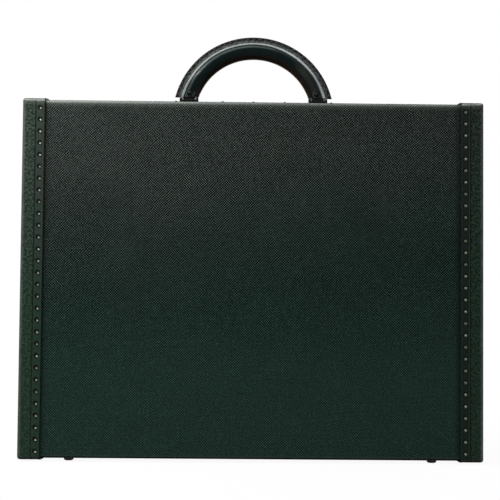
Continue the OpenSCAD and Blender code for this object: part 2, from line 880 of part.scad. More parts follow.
// The knee rivet is fast in the long link and loose in the short one
module knee_rivet(side) {
    len = long_link_x + link_t - short_link_x + slip;
    color("gold") at_pivot(side, short_link_x - slip, knee) {
        cylinder(d = pivot_d, h = len);
        translate([0, 0, len]) dome(pivot_d + 2, rivet_head_h);
        rotate([180, 0, 0]) dome(pivot_d + 2, rivet_head_h);
    }
}

base_frame();
base_board();
base_cover();
base_lining();
base_left_trim();
base_right_trim();
base_left_nails();
base_right_nails();
lid_frame();
lid_board();
lid_cover();
lid_lining();
lid_left_trim();
lid_right_trim();
lid_left_nails();
lid_right_nails();
lid_lip();
lid_pocket();
hinge_base_leaf();
hinge_lid_leaf();
hinge_pin();
hinge_base_screws();
hinge_lid_screws();
base_feet();
lid_feet();
handle_patch();
patch_nails();
left_handle_mount();
right_handle_mount();
handle_pins();
handle_mount_screws();
handle_core();
handle_grip();
handle_welt();
handle_rivets();
lock_plate(-1);  // left_lock_plate
lock_plate(1);  // right_lock_plate
slide(-1);  // left_slide
slide(1);  // right_slide
key_barrel(-1);  // left_key_barrel
key_barrel(1);  // right_key_barrel
hasp(-1);  // left_hasp
hasp(1);  // right_hasp
hasp_mount(-1);  // left_hasp_mount
hasp_mount(1);  // right_hasp_mount
hasp_pins();
lock_rivets();
hasp_mount_rivets();
stay_front_brackets();
stay_lid_brackets();
long_link(-1);  // left_long_link
long_link(1);  // right_long_link
short_link(-1);  // left_short_link
short_link(1);  // right_short_link
knee_rivet(-1);  // left_knee_rivet
knee_rivet(1);  // right_knee_rivet
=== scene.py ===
"""Looks of the leather case: materials, soft-edged leather, the rolled handle, stitches and light."""
import json
import math

import bmesh
import bpy
from mathutils import Matrix, Vector, noise


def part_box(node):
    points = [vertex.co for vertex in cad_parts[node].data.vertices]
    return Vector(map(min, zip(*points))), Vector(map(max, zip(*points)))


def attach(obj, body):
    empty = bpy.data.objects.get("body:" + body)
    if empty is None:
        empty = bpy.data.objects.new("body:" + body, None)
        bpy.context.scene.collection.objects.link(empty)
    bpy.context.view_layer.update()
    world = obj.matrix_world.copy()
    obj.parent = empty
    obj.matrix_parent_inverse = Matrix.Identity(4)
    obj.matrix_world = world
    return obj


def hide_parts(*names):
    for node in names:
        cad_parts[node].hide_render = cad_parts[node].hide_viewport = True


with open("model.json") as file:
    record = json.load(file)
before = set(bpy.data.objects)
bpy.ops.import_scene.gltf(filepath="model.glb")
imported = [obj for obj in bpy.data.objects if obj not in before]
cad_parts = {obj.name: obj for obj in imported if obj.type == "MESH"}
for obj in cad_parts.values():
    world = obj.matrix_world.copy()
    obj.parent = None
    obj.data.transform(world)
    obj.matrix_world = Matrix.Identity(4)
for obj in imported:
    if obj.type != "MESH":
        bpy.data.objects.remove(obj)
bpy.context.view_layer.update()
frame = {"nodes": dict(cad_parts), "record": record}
MM = 0.001
TO_MM = 1000

# Camera of the photograph, in metres and radians, for an image of 500 x 500 pixels
CAMERA_AT = Vector((-0.0216, -1.3078, 0.1454))
CAMERA_YAW = 0.01508
CAMERA_PITCH = 0.04767
CAMERA_ROLL = 0.00893
FOCAL_PIXELS = 1303.1
PHOTO_PIXELS = 500
SENSOR = 36

# Handle, in metres: its radii run from the arch's centre
GRIP_LOW, GRIP_HIGH = (Vector(v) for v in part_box("handle_grip"))
WELT_LOW, WELT_HIGH = (Vector(v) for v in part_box("handle_welt"))
HANDLE_Y = (GRIP_LOW.y + GRIP_HIGH.y) / 2
GRIP_HALF = (GRIP_HIGH.y - GRIP_LOW.y) / 2
WELT_HALF = (WELT_HIGH.y - WELT_LOW.y) / 2
LEATHER_END_Z = GRIP_LOW.z
ARCH_INNER = 58 * MM
ARCH_Z = GRIP_HIGH.z - ARCH_INNER - 2 * GRIP_HALF
CORE_R = ARCH_INNER + GRIP_HALF
WELT_SUNK = 0.06 * MM
WELT_TOP = WELT_HIGH.z - ARCH_Z - CORE_R - WELT_SUNK
PINCH_HALF = 3.7 * MM
PINCH_FLAT = 7.2 * MM
PINCH_RISE = 20 * MM

# Stitches through the handle's fin
STITCH_PITCH = 5.8 * MM
STITCH_OUT = GRIP_HALF + 4.1 * MM
THREAD_R = 0.5 * MM

# Stitches round the lid's pocket
POCKET_PITCH = 4 * MM
POCKET_INSET = 3 * MM
POCKET_STITCH_END = 8 * MM
POCKET_STITCH_DEPTH = 1.6 * MM
POCKET_THREAD_R = 0.3 * MM

# Rounding of sharp edges
BEVEL_SEGMENTS = 3
SHARP_ANGLE = math.radians(35)

# Places that the materials use, in millimetres
CASE_HALF_W, CASE_HALF_D = (v * TO_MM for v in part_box("lid_right_trim")[1][:2])
COVER_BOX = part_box("base_cover")
COVER_BOTTOM = COVER_BOX[0][2] * TO_MM
COVER_TOP = COVER_BOX[1][2] * TO_MM
COVER_HALF_D = -COVER_BOX[0][1] * TO_MM
TRIM_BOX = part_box("base_left_trim")
TRIM_BOTTOM = TRIM_BOX[0][2] * TO_MM
TRIM_TOP = TRIM_BOX[1][2] * TO_MM
TRIM_WIDTH = 22
GROOVE_IN = 13.1
NAIL_IN = 17.7
NAIL_COUNT = 30
NAIL_D = 3.5
NAIL_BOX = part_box("base_left_nails")
NAIL_LOW = NAIL_BOX[0][2] * TO_MM + NAIL_D / 2
NAIL_HIGH = NAIL_BOX[1][2] * TO_MM - NAIL_D / 2
NAIL_PITCH = (NAIL_HIGH - NAIL_LOW) / (NAIL_COUNT - 1)
FIN_ROOT = (CORE_R + GRIP_HALF) * TO_MM
RIVET_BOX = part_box("handle_rivets")
RIVET_HEAD_HALF = 2.3
RIVET_X = RIVET_BOX[1][0] * TO_MM - RIVET_HEAD_HALF
RIVET_Z = (RIVET_BOX[0][2] + RIVET_BOX[1][2]) / 2 * TO_MM

# Pressed grain of the covers, in millimetres
GRAIN_PITCH = 2.5
GRAIN_DRIFT = 1.6
GRAIN_DRIFT_SIZE = 9.0

# Colours that several leathers share, as linear red, green and blue
# Pale worn edge colour, partly a painted highlight on the rounded upper edges
PALE_WEAR_AND_HIGHLIGHT = (0.240, 0.262, 0.242)
# Paler still, for the right trims' upper edges: wear and a painted highlight
RIM_WEAR_AND_HIGHLIGHT = (0.42, 0.45, 0.43)
LOW_LINE = (0.034, 0.040, 0.034)
# Near black for painted shade, and for the dark dye of cut edges
PAINTED_SHADE_AND_DARK_DYE = (0.0008, 0.0012, 0.0010)

# Colours of the covers; the grey stands for faded dye and a painted sheen towards the top
COVER_DARK = (0.0003, 0.0012, 0.0009)
COVER_GREEN = (0.054, 0.124, 0.096)
COVER_GREY = (0.122, 0.150, 0.134)

# Colours of the trims: those of the right trims, then the lighter ones of the left, lit more as painted
# light; the grey stands for faded dye and a painted sheen
TRIM_DARK = ((0.0005, 0.0028, 0.0016), (0.0040, 0.0120, 0.0072))
TRIM_GREEN = ((0.015, 0.038, 0.024), (0.020, 0.045, 0.028))
TRIM_GREY = ((0.025, 0.036, 0.029), (0.038, 0.050, 0.040))
# Painted highlight on the ridge beside the groove
TRIM_RIDGE_HIGHLIGHT = ((0.024, 0.034, 0.027), (0.026, 0.036, 0.030))
# Wear and painted highlight on the trims' upper edges
TRIM_WEAR_AND_HIGHLIGHT = (RIM_WEAR_AND_HIGHLIGHT, PALE_WEAR_AND_HIGHLIGHT)
# Groove darkened by dye and painted shade
GROOVE_DYE_AND_SHADE = (0.003, 0.006, 0.004)
# Painted highlight on the right trims' cut inner edge
CUT_EDGE_HIGHLIGHT = (0.017, 0.022, 0.020)

# Colours of the trim nails: painted glints of the right rows in two patches, those of the brighter left
# rows, and both rows' rims, darkened by tarnish and painted shade
NAIL_GLINT_RIGHT = ((0.20, 0.22, 0.165), (0.09, 0.10, 0.065))
NAIL_GLINT_LEFT = ((0.52, 0.55, 0.46), (0.24, 0.26, 0.19))
NAIL_RIM_TARNISH_AND_SHADE = ((0.060, 0.065, 0.045), (0.010, 0.012, 0.008))

# Colours of the handle
HANDLE_DYE = ((0.0008, 0.0022, 0.0022), (0.0030, 0.0080, 0.0085))
HANDLE_TAN = (0.022, 0.011, 0.005)
# Painted sheen on the roll below the bead
HANDLE_PAINTED_SHEEN = (0.062, 0.078, 0.075)
HANDLE_SCUFF = (0.030, 0.034, 0.026)
# Painted highlight along the bead: left part, then right part
HANDLE_BEAD_HIGHLIGHT = ((0.23, 0.26, 0.235), (0.42, 0.45, 0.46))
FIN_GREY = ((0.028, 0.030, 0.029), (0.082, 0.086, 0.084))
RIVET_RING = (0.040, 0.044, 0.044)

# Studio
AMBIENT = 0.3
FLOOR_REACH = 12
FLOOR_COLOR = (0.85, 0.85, 0.84, 1)


class Shader:
    """A material whose nodes are made with short calls. Lengths in its nodes are millimetres."""

    def __init__(self, name, **constants):
        self.material = bpy.data.materials.new(name)
        self.material.use_nodes = True
        self.tree = self.material.node_tree
        self.bsdf = self.tree.nodes["Principled BSDF"]
        for key, value in constants.items():
            self.bsdf.inputs[key.replace("_", " ").title().replace("Ior", "IOR")].default_value = value
        coordinates = self.tree.nodes.new("ShaderNodeTexCoord")
        self.at = self.vector("SCALE", coordinates.outputs["Object"], scale=TO_MM)
        self.x, self.y, self.z = self.split(self.at)
        self.nx, self.ny, self.nz = self.split(coordinates.outputs["Normal"])

    def put(self, value, socket):
        if isinstance(value, bpy.types.NodeSocket):
            self.tree.links.new(value, socket)
        else:
            socket.default_value = value

    def split(self, vector):
        node = self.tree.nodes.new("ShaderNodeSeparateXYZ")
        self.put(vector, node.inputs[0])
        return node.outputs

    def join(self, x, y, z):
        node = self.tree.nodes.new("ShaderNodeCombineXYZ")
        for value, socket in zip((x, y, z), node.inputs):
            self.put(value, socket)
        return node.outputs[0]

    def math(self, operation, *values):
        node = self.tree.nodes.new("ShaderNodeMath")
        node.operation = operation
        for value, socket in zip(values, node.inputs):
            self.put(value, socket)
        return node.outputs[0]

    def vector(self, operation, a, b=None, scale=None):
        node = self.tree.nodes.new("ShaderNodeVectorMath")
        node.operation = operation
        self.put(a, node.inputs[0])
        if b is not None:
            self.put(b, node.inputs[1])
        if scale is not None:
            self.put(scale, node.inputs["Scale"])
        return node.outputs[0]

    def add(self, a, b):
        return self.math("ADD", a, b)

    def sub(self, a, b):
        return self.math("SUBTRACT", a, b)

    def mul(self, a, b):
        return self.math("MULTIPLY", a, b)

    def max(self, a, b):
        return self.math("MAXIMUM", a, b)

    def abs(self, a):
        return self.math("ABSOLUTE", a)

    def linear(self, value, gain, offset):
        return self.add(self.mul(value, gain), offset)

    def length(self, a, b):
        return self.math("SQRT", self.add(self.mul(a, a), self.mul(b, b)))

    def step(self, value, low, high, to_low=0.0, to_high=1.0):
        """Smooth step from low to high."""
        node = self.tree.nodes.new("ShaderNodeMapRange")
        node.interpolation_type = "SMOOTHSTEP"
        for v, socket in zip((value, low, high, to_low, to_high), node.inputs):
            self.put(v, socket)
        return node.outputs[0]

    def near(self, value, centre, far, close, to_far=0.0, to_close=1.0):
        """Smooth step of the distance from a centre."""
        return self.step(self.abs(self.sub(value, centre)), far, close, to_far, to_close)

    def wave(self, along, pitch):
        """Ridges from 0 to 1, one for each pitch of the length along."""
        return self.linear(self.math("SINE", self.mul(along, 2 * math.pi / pitch)), 0.5, 0.5)

    def texture(self, kind, size, at=None):
        node = self.tree.nodes.new(kind)
        self.put(self.at if at is None else at, node.inputs["Vector"])
        node.inputs["Scale"].default_value = 1 / size
        return node

    def noise_outputs(self, size, detail, at=None):
        node = self.texture("ShaderNodeTexNoise", size, at)
        node.inputs["Detail"].default_value = detail
        return node.outputs

    def noise(self, size, detail, at=None):
        return self.noise_outputs(size, detail, at)[0]

    def cell_edges(self, size):
        """Distance to the edges of random cells, as a share of their size."""
        node = self.texture("ShaderNodeTexVoronoi", size)
        node.feature = "DISTANCE_TO_EDGE"
        return node.outputs["Distance"]

    def mix(self, factor, a, b):
        node = self.tree.nodes.new("ShaderNodeMix")
        node.data_type = "RGBA"
        for value, socket in ((factor, node.inputs[0]), (a, node.inputs[6]), (b, node.inputs[7])):
            self.put((*value, 1) if isinstance(value, tuple) else value, socket)
        return node.outputs[2]

    def finish(self, color, roughness, height, depth):
        """Colour and roughness, and a height from 0 to 1 that stands for depth millimetres."""
        self.put(color, self.bsdf.inputs["Base Color"])
        self.put(roughness, self.bsdf.inputs["Roughness"])
        bump = self.tree.nodes.new("ShaderNodeBump")
        bump.inputs["Strength"].default_value = 1.0
        bump.inputs["Distance"].default_value = depth * MM
        self.put(height, bump.inputs["Height"])
        self.tree.links.new(bump.outputs[0], self.bsdf.inputs["Normal"])
        return self.material


class TrimShader(Shader):
    """A shader with what the end trims and their nails share."""

    def __init__(self, name, **constants):
        super().__init__(name, **constants)
        self.left = self.step(self.x, 1.0, -1.0)
        self.right = self.sub(1.0, self.left)
        self.across = self.from_edge()

    def from_edge(self):
        """Distance from a trim's outer edge, on its face, its wrap and its end flange."""
        end = self.sub(CASE_HALF_W, self.abs(self.x))
        face = self.sub(CASE_HALF_D, self.abs(self.y))
        on_end = self.step(end, 2.2, 1.8)
        return self.add(self.mul(end, self.sub(1.0, on_end)), self.mul(face, on_end))

    def from_nail(self, inward=0.0, up=0.0):
        """Distance from a point near the centre of the nearest nail of a trim's row."""
        turns = self.mul(self.sub(self.z, NAIL_LOW), 1 / NAIL_PITCH)
        off_centre = self.sub(self.math("FRACT", self.add(turns, 0.5)), 0.5)
        along = self.sub(self.mul(off_centre, NAIL_PITCH), up)
        return self.length(along, self.sub(self.sub(self.across, inward), NAIL_IN))


def faded_and_sheen_share(s):
    """How far the dye has gone grey, with a painted sheen there: more towards the top, and a little more
    on the left.
    """
    height = s.add(s.add(s.z, s.mul(s.x, -0.15)), s.mul(s.noise(60, 2.0), 60))
    return s.step(height, 175, 350)


def edge_wear_highlight_and_shade(s):
    """Pale wear with a painted highlight on the rounded upper edges, and painted shade on the lower ones.
    """
    wear_and_highlight = s.mul(s.step(s.nz, 0.12, 0.36), s.step(s.nz, 0.78, 0.42))
    towards_ends = s.step(s.abs(s.nx), 0.2, 0.5, 1.0, 0.35)
    scuffed = s.step(s.add(s.noise(2.5, 3.0), s.noise(25, 2.0)), 0.75, 1.2, 0.55, 1.0)
    slant = s.mul(s.mul(s.nz, s.max(s.abs(s.nx), s.abs(s.ny))), 2.0)
    # Painted shade on the downward-facing rounded edges
    painted_under_shade = s.step(s.mul(slant, -1.0), 0.1, 0.6)
    return s.mul(s.mul(wear_and_highlight, towards_ends), scuffed), painted_under_shade


def top_edge_highlight(s, top, half_depth):
    """Painted highlight that fades over the few millimetres on either side of the front and back top
    edges.
    """
    down = s.sub(top, s.z)
    inward = s.sub(half_depth, s.abs(s.y))
    off = s.add(down, inward)
    band_highlight = s.add(s.mul(s.step(off, 3.8, 1.6), 0.72), s.mul(s.step(off, 8.0, 2.0), 0.22))
    return s.mul(band_highlight, s.step(s.nz, 0.9, 0.45, 0.25, 1.0))


def low_line(s, color, bottom):
    """Faint pale line just over the dark lower edge."""
    return s.mix(s.mul(s.near(s.z, bottom + 2.6, 0.9, 0.4), 0.4), color, LOW_LINE)


def pressed_strokes(s):
    """Fine slanting ridges from 0 to 1, most of them rising to the right, in patches."""
    centred = s.vector("SUBTRACT", s.noise_outputs(GRAIN_DRIFT_SIZE, 1.0)[1], (0.5, 0.5, 0.5))
    x, y, z = s.split(s.vector("ADD", s.at, s.vector("SCALE", centred, scale=GRAIN_DRIFT)))
    y_on_top = s.mul(y, s.step(s.abs(s.nz), 0.7, 0.8, 1.0, -1.0))
    rising = s.wave(s.add(x, s.sub(y, z)), GRAIN_PITCH)
    falling = s.wave(s.add(x, s.add(z, y_on_top)), GRAIN_PITCH)
    patches = s.step(s.noise(6.5, 2.0), 0.44, 0.62)
    rising_share = s.sub(0.8, s.mul(patches, 0.5))
    falling_share = s.linear(patches, 0.55, 0.2)
    return s.add(s.mul(rising, rising_share), s.mul(falling, falling_share))


def cover_dye(s, grain, crispness):
    """Bright ridges over a dark ground, flatter low down as painted fill light, and a little darker at
    half height as painted shade.
    """
    blotches = s.step(s.noise(45, 3.0), 0.35, 0.65, 0.93, 1.07)
    # Painted fill light: the grain evens out low down
    level = s.step(s.z, 60, 200, 0.55, 1.0)
    flat_part = s.mul(s.sub(1.0, level), 0.145)
    tone = s.add(s.mul(s.mul(grain, blotches), level), flat_part)
    # Painted shade: a little darker at half height
    tone = s.mul(tone, s.near(s.z, 190, 120, 20, 1.0, 0.87))
    light = s.mix(faded_and_sheen_share(s), COVER_GREEN, COVER_GREY)
    return s.mix(tone, COVER_DARK, s.vector("SCALE", light, scale=s.linear(crispness, 0.70, 1.0)))


def cover_leather():
    """Pressed grain whose ridges are broken up, with wear and a painted highlight at the top edges, and
    painted shade beside the trims and on the lower edges.
    """
    s = Shader("cover_leather", specular_ior_level=0.03)
    strokes = pressed_strokes(s)
    breaks = s.step(s.noise(1.6, 1.0), 0.3, 0.56)
    crispness = s.step(s.add(s.x, s.mul(s.z, -0.8)), -420, -250)
    peaks = s.math("POWER", strokes, s.linear(crispness, 3.0, 4.0))
    grain = s.mul(peaks, s.linear(breaks, 0.4, 0.6))
    wear_and_highlight, painted_under_shade = edge_wear_highlight_and_shade(s)
    # Painted highlight along the top edges, stronger on the left
    highlight_strength = s.add(s.mul(grain, 0.6), s.step(s.x, 40, -120, 0.5, 0.72))
    painted_highlight = s.mul(top_edge_highlight(s, COVER_TOP, COVER_HALF_D), highlight_strength)
    color = s.mix(s.max(wear_and_highlight, painted_highlight), cover_dye(s, grain, crispness), PALE_WEAR_AND_HIGHLIGHT)
    # Painted shadow on the cover beside the trims, deeper on the right
    painted_shade_beside_trim = s.mul(s.step(s.abs(s.x), 195, 203), s.step(s.x, -1.0, 1.0, 0.3, 0.6))
    color = s.mix(s.max(painted_shade_beside_trim, painted_under_shade), color, PAINTED_SHADE_AND_DARK_DYE)
    color = low_line(s, color, COVER_BOTTOM)
    relief = s.mul(s.mul(strokes, s.linear(breaks, 0.5, 0.5)), s.sub(1.0, s.mul(wear_and_highlight, 0.9)))
    height = s.add(relief, s.mul(s.noise(0.5, 1.0), 0.1))
    rough = s.add(s.linear(grain, -0.05, 0.40), s.mul(wear_and_highlight, -0.12))
    return s.finish(color, rough, height, depth=0.34)


def trim_dye(s, band, raised, crisp):
    """Pebbles with dark hollows that fade out towards the bottom, and an even strip."""
    smooth_part = s.mul(s.mul(band, s.sub(1.0, crisp)), 0.45)
    pebbles = s.add(s.mul(raised, crisp), smooth_part)
    # Painted light: the strip is lighter on the left trims
    strip_tone = s.mul(s.sub(1.0, band), s.linear(s.left, 0.28, 0.1))
    shade = s.add(s.add(s.mul(pebbles, 0.8), s.mul(s.noise(14, 3.0), 0.2)), strip_tone)
    light = s.mix(faded_and_sheen_share(s), s.mix(s.left, *TRIM_GREEN), s.mix(s.left, *TRIM_GREY))
    return s.mix(shade, s.mix(s.left, *TRIM_DARK), light)


def trim_tooling(s, color, groove, crisp):
    """Groove darkened by dye and painted shade, with a painted highlight on the ridge beside it."""
    ridge = s.mul(s.near(s.across, GROOVE_IN + 0.9, 0.8, 0.2), crisp)
    color = s.mix(s.mul(ridge, s.linear(s.left, -0.25, 0.85)), color, s.mix(s.left, *TRIM_RIDGE_HIGHLIGHT))
    return s.mix(s.mul(groove, s.linear(s.left, 0.3, 0.2)), color, GROOVE_DYE_AND_SHADE)


def trim_wear_and_highlights(s, color, wear_and_highlight, flat_side):
    """Pale wear with a painted highlight along the top edges and the upright outer edges."""
    # Wear and a painted highlight on the upright outer edges
    upright = s.mul(s.step(s.across, 4.5, 1.0), s.linear(s.noise(7, 2.0), 0.24, 0.02))
    painted_highlight = s.mul(top_edge_highlight(s, TRIM_TOP, CASE_HALF_D), s.linear(s.left, 0.25, 0.5))
    # Wear and painted highlight together
    wear = s.max(s.max(wear_and_highlight, painted_highlight), s.mul(upright, flat_side))
    return s.mix(wear, color, s.mix(s.left, *TRIM_WEAR_AND_HIGHLIGHT))


def trim_shadows(s, color, painted_under_shade, flat_side):
    """Painted highlight on the right trims' cut inner edge, edge dye and painted shade on the left ones',
    painted shade low down, and a painted shadow in the hollow round each nail.
    """
    cut_start = s.step(s.across, TRIM_WIDTH - 1.1, TRIM_WIDTH - 0.3)
    cut_end = s.step(s.across, TRIM_WIDTH + 0.6, TRIM_WIDTH + 0.2)
    cut = s.mul(s.mul(cut_start, cut_end), flat_side)
    # Painted highlight on the right trims' cut inner edge
    color = s.mix(s.mul(s.mul(cut, s.right), 0.6), color, CUT_EDGE_HIGHLIGHT)
    # Painted shadow in the hollow round each nail, on its upper side
    hollow = s.mul(s.step(s.from_nail(s.linear(s.left, -1.3, 0.6), 0.7), 2.7, 1.9), flat_side)
    # Painted shade low down and round the nails, and dye with painted shade on the left cut edge
    for mask, depth in ((painted_under_shade, 1.0), (hollow, 0.95), (s.mul(cut, s.left), 0.9)):
        color = s.mix(s.mul(mask, depth), color, PAINTED_SHADE_AND_DARK_DYE)
    return color


def trim_leather():
    """Smooth strip with the nails, and a pebbled band between the groove and the rounded edge."""
    s = TrimShader("trim_leather", specular_ior_level=0.08)
    flat_side = s.step(s.abs(s.nz), 0.6, 0.8, 1.0, 0.0)
    band = s.mul(s.step(s.across, 1.6, 3.0), s.step(s.across, GROOVE_IN + 0.2, GROOVE_IN - 0.8))
    slanted = s.join(s.add(s.x, s.y), s.mul(s.y, 0.4), s.add(s.z, s.mul(s.x, 0.5)))
    raised = s.mul(band, s.step(s.noise(2.3, 1.5, at=slanted), 0.4, 0.62))
    crisp = s.step(s.z, 20, 210, 0.65, 1.0)
    groove = s.mul(s.near(s.across, GROOVE_IN, 1.1, 0.7), crisp)
    wear_and_highlight, painted_under_shade = edge_wear_highlight_and_shade(s)
    color = trim_dye(s, band, raised, crisp)
    color = trim_tooling(s, color, groove, crisp)
    color = trim_wear_and_highlights(s, color, wear_and_highlight, flat_side)
    color = trim_shadows(s, color, painted_under_shade, flat_side)
    color = low_line(s, color, TRIM_BOTTOM)
    nail_pit = s.mul(s.step(s.from_nail(), 3.0, 1.8), flat_side)
    pebbled = s.add(s.mul(raised, 0.8), s.mul(s.noise(0.9, 3.0), 0.25))
    height = s.sub(pebbled, s.mul(nail_pit, 0.9))
    rough = s.add(s.linear(s.noise(3, 2.0), 0.16, 0.42), s.mul(groove, 0.4))
    return s.finish(color, rough, height, depth=0.28)


def nail_metal():
    """Small domes with a painted glint off centre, and a rim darkened by tarnish and painted shade."""
    s = TrimShader("nail_brass", metallic=1.0)
    glint_left = s.from_nail(inward=0.4, up=-0.4)
    glint_right = s.from_nail(up=0.4)
    glint = s.add(s.mul(s.left, glint_left), s.mul(s.right, glint_right))
    rim = s.step(glint, s.linear(s.left, -0.15, 0.5), s.linear(s.left, -0.2, 1.45))
    patches = s.step(s.noise(9, 3.0), 0.35, 0.7)
    # Painted glint in the middle of each nail, brighter on the left rows
    bright = s.mix(s.left, s.mix(patches, *NAIL_GLINT_RIGHT), s.mix(patches, *NAIL_GLINT_LEFT))
    # Rim darkened by tarnish and painted shade
    color = s.mix(rim, bright, s.mix(s.left, *NAIL_RIM_TARNISH_AND_SHADE))
    return s.finish(color, s.linear(rim, 0.1, 0.6), s.noise(0.4, 2.0), depth=0.02)


def handle_dye(s, radius):
    """Black-green dye that has turned brown inside the arch."""
    wear = s.mul(s.step(radius, 62.5, 58.5), s.linear(s.noise(9, 2.0), 0.6, 0.5))
    return s.mix(wear, s.mix(s.noise(12, 3.0), *HANDLE_DYE), HANDLE_TAN)


def handle_sheen_and_scuff(s, color, radius):
    """Painted sheen below the bead, stronger on the left, and a dull scuff low on the right."""
    sheen_start = s.step(radius, FIN_ROOT - 6.0, FIN_ROOT - 4.4)
    sheen_end = s.step(radius, FIN_ROOT - 2.6, FIN_ROOT - 3.6)
    # Painted sheen, stronger on the left
    painted_sheen = s.mul(s.mul(sheen_start, sheen_end), s.step(s.x, 60, -60, 0.25, 1.0))
    color = s.mix(s.mul(painted_sheen, s.linear(s.noise(9, 2.0), 0.7, 0.35)), color, HANDLE_PAINTED_SHEEN)
    scuff = s.mul(s.near(radius, 66, 4.5, 1.0), s.step(s.x, 36, 52))
    return s.mix(s.mul(scuff, 0.6), color, HANDLE_SCUFF)


def handle_bead(s, color, radius, fin):
    """Painted highlight along the bead at the fin's root, wider on the right."""
    widened = s.add(radius, s.step(s.x, 10, 50, 0.0, 0.9))
    bead = s.mul(s.step(widened, FIN_ROOT - 2.2, FIN_ROOT - 1.1), s.sub(1.0, fin))
    painted_highlight = s.mul(bead, s.linear(s.noise(6, 2.0), 0.6, 0.6))
    return s.mix(painted_highlight, color, s.mix(s.step(s.x, -10, 45), *HANDLE_BEAD_HIGHLIGHT))


def rivet_seats(s, color):
    """Pale ring under each rivet, and painted shade in a line round its head."""
    above = s.sub(s.z, RIVET_Z)
    from_rivet = s.length(s.sub(s.abs(s.x), RIVET_X), above)
    ring = s.mul(s.step(from_rivet, 5.2, 4.0), s.step(above, 2.5, -0.5))
    color = s.mix(s.mul(ring, 0.8), color, RIVET_RING)
    # Painted shade in the crease round each rivet's head
    return s.mix(s.step(from_rivet, 3.5, 3.0), color, PAINTED_SHADE_AND_DARK_DYE)


def handle_leather():
    """Smooth black-green leather with a warmer wear inside the arch, a painted highlight along the bead, a
    painted sheen below it, and a matt grey fin.
    """
    s = Shader("handle_leather", specular_ior_level=0.05)
    radius = s.length(s.x, s.sub(s.z, ARCH_Z * TO_MM))
    fin = s.step(radius, FIN_ROOT - 0.1, FIN_ROOT + 0.7)
    scuffs = s.step(s.noise(2.6, 3.0), 0.35, 0.7)
    color = s.mix(fin, handle_dye(s, radius), s.mix(scuffs, *FIN_GREY))
    color = handle_sheen_and_scuff(s, color, radius)
    color = handle_bead(s, color, radius, fin)
    border = s.mul(s.step(radius, FIN_ROOT + 2.2, FIN_ROOT + 4.0), s.linear(scuffs, -0.15, 0.97))
    color = rivet_seats(s, s.mix(border, color, PAINTED_SHADE_AND_DARK_DYE))
    creases = s.noise(2.2, 3.0, at=s.join(s.mul(radius, 2.4), s.y, s.mul(s.z, 0.7)))
    height = s.add(s.mul(creases, 0.6), s.mul(s.noise(0.45, 2.0), 0.4))
    rough = s.add(s.mul(s.noise(5, 2.0), 0.10), s.linear(fin, 0.3, 0.20))
    return s.finish(color, rough, height, depth=0.07)


def plain_leather(name, dark, light, roughness, pebble):
    s = Shader(name)
    cells = s.step(s.cell_edges(pebble), 0.0, 0.28)
    tone = s.add(s.mul(s.noise(22, 3.0), 0.6), s.mul(cells, 0.4))
    return s.finish(s.mix(tone, dark, light), s.linear(cells, -0.08, roughness), cells, depth=0.12)


def edge_dye():
    s = Shader("edge_dye", specular_ior_level=0.5)
    color = s.mix(s.noise(2.0, 3.0), (0.0025, 0.003, 0.003), (0.010, 0.012, 0.011))
    return s.finish(color, s.linear(s.noise(1.2, 2.0), 0.2, 0.32), s.noise(0.7, 3.0), depth=0.12)


def thread(name, dark, light):
    """Waxed thread with its twist."""
    s = Shader(name)
    twist = s.wave(s.add(s.add(s.x, s.y), s.z), 0.5)
    return s.finish(s.mix(twist, dark, light), 0.5, twist, depth=0.05)


def suede():
    """Lining with a short nap."""
    s = Shader("lining_suede", sheen_weight=0.4, sheen_roughness=0.5)
    nap = s.noise(0.5, 3.0)
    tone = s.add(s.mul(s.noise(30, 3.0), 0.6), s.mul(nap, 0.4))
    return s.finish(s.mix(tone, (0.045, 0.050, 0.044), (0.10, 0.11, 0.095)), 0.92, nap, depth=0.12)


def metal(name, low, high, roughness, tarnish=0.5, stretch=1.0, tarnish_size=6):
    """Metal with a tarnish in patches, and fine scratches that a small stretch draws out along x."""
    s = Shader(name, metallic=1.0)
    scratches = s.noise(0.25, 2.0, at=s.join(s.mul(s.x, stretch), s.y, s.z))
    patches = s.step(s.noise(tarnish_size, 3.0), 0.4, 0.7)
    tone = s.add(s.mul(patches, tarnish), s.mul(scratches, 0.25))
    rough = s.add(s.mul(patches, 0.12), s.linear(scratches, 0.12, roughness))
    return s.finish(s.mix(tone, high, low), rough, scratches, depth=0.02)


def painted_metal(name, dark, light):
    """Black lacquer with metal grey showing through in patches."""
    s = Shader(name, metallic=0.3, specular_ior_level=0.15)
    wear = s.step(s.noise(1.6, 4.0), 0.55, 0.75)
    return s.finish(s.mix(wear, dark, light), s.linear(wear, 0.2, 0.3), s.noise(0.5, 2.0), depth=0.03)


def plywood():
    s = Shader("plywood")
    rings = s.noise(2.4, 4.0, at=s.join(s.mul(s.x, 0.08), s.mul(s.y, 1.4), s.mul(s.z, 0.5)))
    return s.finish(s.mix(rings, (0.23, 0.14, 0.07), (0.50, 0.35, 0.20)), 0.7, rings, depth=0.1)


# One material for each slot of the record
MATERIALS = {
    "cover_leather": cover_leather(),
    "trim_leather": trim_leather(),
    "handle_leather": handle_leather(),
    "pocket_leather": plain_leather("pocket_leather", (0.010, 0.018, 0.014), (0.024, 0.038, 0.030),
                                    0.5, 1.1),
    "lining": suede(),
    "lip": plain_leather("lip_leather", (0.006, 0.010, 0.008), (0.016, 0.022, 0.018), 0.45, 0.9),
    "nail_brass": nail_metal(),
    "foot_brass": metal("foot_brass", (0.006, 0.006, 0.005), (0.030, 0.027, 0.020), 0.5),
    "dark_brass": painted_metal("dark_brass", (0.003, 0.0035, 0.0035), (0.020, 0.020, 0.018)),
    "brass": metal("brass", (0.34, 0.24, 0.10), (0.78, 0.60, 0.30), 0.26, stretch=0.1, tarnish_size=9),
    "steel": metal("steel", (0.30, 0.30, 0.29), (0.62, 0.62, 0.60), 0.3, tarnish=0.4, stretch=0.1),
    "plywood": plywood(),
}
EDGE_DYE = edge_dye()
